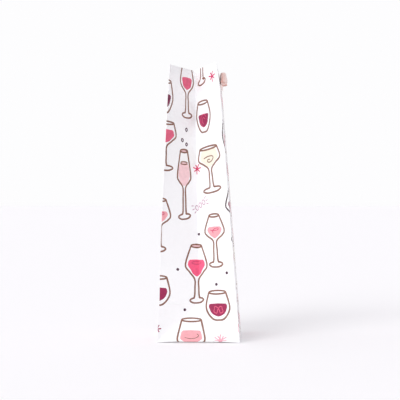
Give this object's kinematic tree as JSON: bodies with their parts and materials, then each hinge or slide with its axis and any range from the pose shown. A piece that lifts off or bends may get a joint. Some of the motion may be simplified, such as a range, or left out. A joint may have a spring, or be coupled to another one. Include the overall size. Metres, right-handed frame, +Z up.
{
  "type": "wine gift bag",
  "caption": "Tall pleated paper gift bag for one bottle, printed with wine glasses, with a stiffened turned-in rim and a satin bow on the front.",
  "frame": {"origin": "centre of the base, on the surface that the bag stands on", "axes": "+Z up, +X to the right across the front panel, +Y from the front panel to the back panel; the gussets face -X and +X"},
  "size_m": [0.1212, 0.102, 0.3439],
  "materials": {
    "printed_paper": "coated, satin, printed with wine glasses",
    "uncoated_paper": "matt white back of the sheet",
    "white_board": "matt white board",
    "satin_ribbon": "pink satin"
  },
  "bodies": {
    "base": {"bottom_front_flap": "printed_paper", "bottom_back_flap": "printed_paper", "bottom_left_flap": "uncoated_paper", "bottom_right_flap": "uncoated_paper", "base_card": "white_board"},
    "front_panel": {"front_panel": "printed_paper", "front_top_card": "white_board", "front_hem": "printed_paper", "ribbon_knot": "satin_ribbon", "ribbon_inner_strand": "satin_ribbon", "ribbon_left_loop": "satin_ribbon", "ribbon_right_loop": "satin_ribbon", "ribbon_left_tail": "satin_ribbon", "ribbon_right_tail": "satin_ribbon"},
    "back_panel": {"back_panel": "printed_paper", "back_top_card": "white_board", "back_hem": "printed_paper", "side_seam_flap": "uncoated_paper"},
    "left_gusset_pleat": {"left_gusset_foot": "printed_paper", "left_gusset_front_web": "printed_paper", "left_gusset_back_web": "printed_paper"},
    "left_gusset_front_leaf": {"left_gusset_front_leaf": "printed_paper", "left_gusset_front_hem": "printed_paper"},
    "left_gusset_back_leaf": {"left_gusset_back_leaf": "printed_paper", "left_gusset_back_hem": "printed_paper"},
    "right_gusset_pleat": {"right_gusset_foot": "printed_paper", "right_gusset_front_web": "printed_paper", "right_gusset_back_web": "printed_paper"},
    "right_gusset_front_leaf": {"right_gusset_front_leaf": "printed_paper", "right_gusset_front_hem": "printed_paper"},
    "right_gusset_back_leaf": {"right_gusset_back_leaf": "printed_paper", "right_gusset_back_hem": "printed_paper"}
  },
  "joints": [
    {"name": "front_panel_swing", "type": "hinge", "parent": "base", "child": "front_panel", "pos_m": [0, -0.051, 0], "axis": [-1, 0, 0], "range_deg": [-2.5, 3], "stiffness_Nm_per_rad": 0.6},
    {"name": "back_panel_swing", "type": "hinge", "parent": "base", "child": "back_panel", "pos_m": [0, 0.051, 0], "axis": [1, 0, 0], "range_deg": [-2.46, 2.95]},
    {"name": "left_pleat_swing", "type": "hinge", "parent": "base", "child": "left_gusset_pleat", "pos_m": [-0.0605, 0, 0], "axis": [0, 1, 0], "range_deg": [-1.74, 2.09]},
    {"name": "left_front_leaf_fold", "type": "hinge", "parent": "front_panel", "child": "left_gusset_front_leaf", "pos_m": [-0.0605, -0.0506, -0.00003], "axis": [0, -0.0785, -0.9969], "range_deg": [-20.26, 24.31]},
    {"name": "left_back_leaf_fold", "type": "hinge", "parent": "back_panel", "child": "left_gusset_back_leaf", "pos_m": [-0.0605, 0.0506, -0.00002], "axis": [0, -0.0471, 0.9989], "range_deg": [-19.75, 23.7]},
    {"name": "right_pleat_swing", "type": "hinge", "parent": "base", "child": "right_gusset_pleat", "pos_m": [0.0605, 0, 0], "axis": [0, -1, 0], "range_deg": [-1.74, 2.09]},
    {"name": "right_front_leaf_fold", "type": "hinge", "parent": "front_panel", "child": "right_gusset_front_leaf", "pos_m": [0.0605, -0.0506, -0.00003], "axis": [0, 0.0785, 0.9969], "range_deg": [-20.26, 24.31]},
    {"name": "right_back_leaf_fold", "type": "hinge", "parent": "back_panel", "child": "right_gusset_back_leaf", "pos_m": [0.0605, 0.0506, -0.00002], "axis": [0, 0.0471, -0.9989], "range_deg": [-19.75, 23.7]}
  ],
  "couplings": [
    {"joint": "back_panel_swing", "follows": "front_panel_swing", "ratio": 0.9767},
    {"joint": "left_pleat_swing", "follows": "front_panel_swing", "ratio": 0.6887},
    {"joint": "left_front_leaf_fold", "follows": "front_panel_swing", "ratio": 8.0974},
    {"joint": "left_back_leaf_fold", "follows": "front_panel_swing", "ratio": 7.8924},
    {"joint": "right_pleat_swing", "follows": "front_panel_swing", "ratio": 0.6887},
    {"joint": "right_front_leaf_fold", "follows": "front_panel_swing", "ratio": 8.0974},
    {"joint": "right_back_leaf_fold", "follows": "front_panel_swing", "ratio": 7.8924}
  ]
}
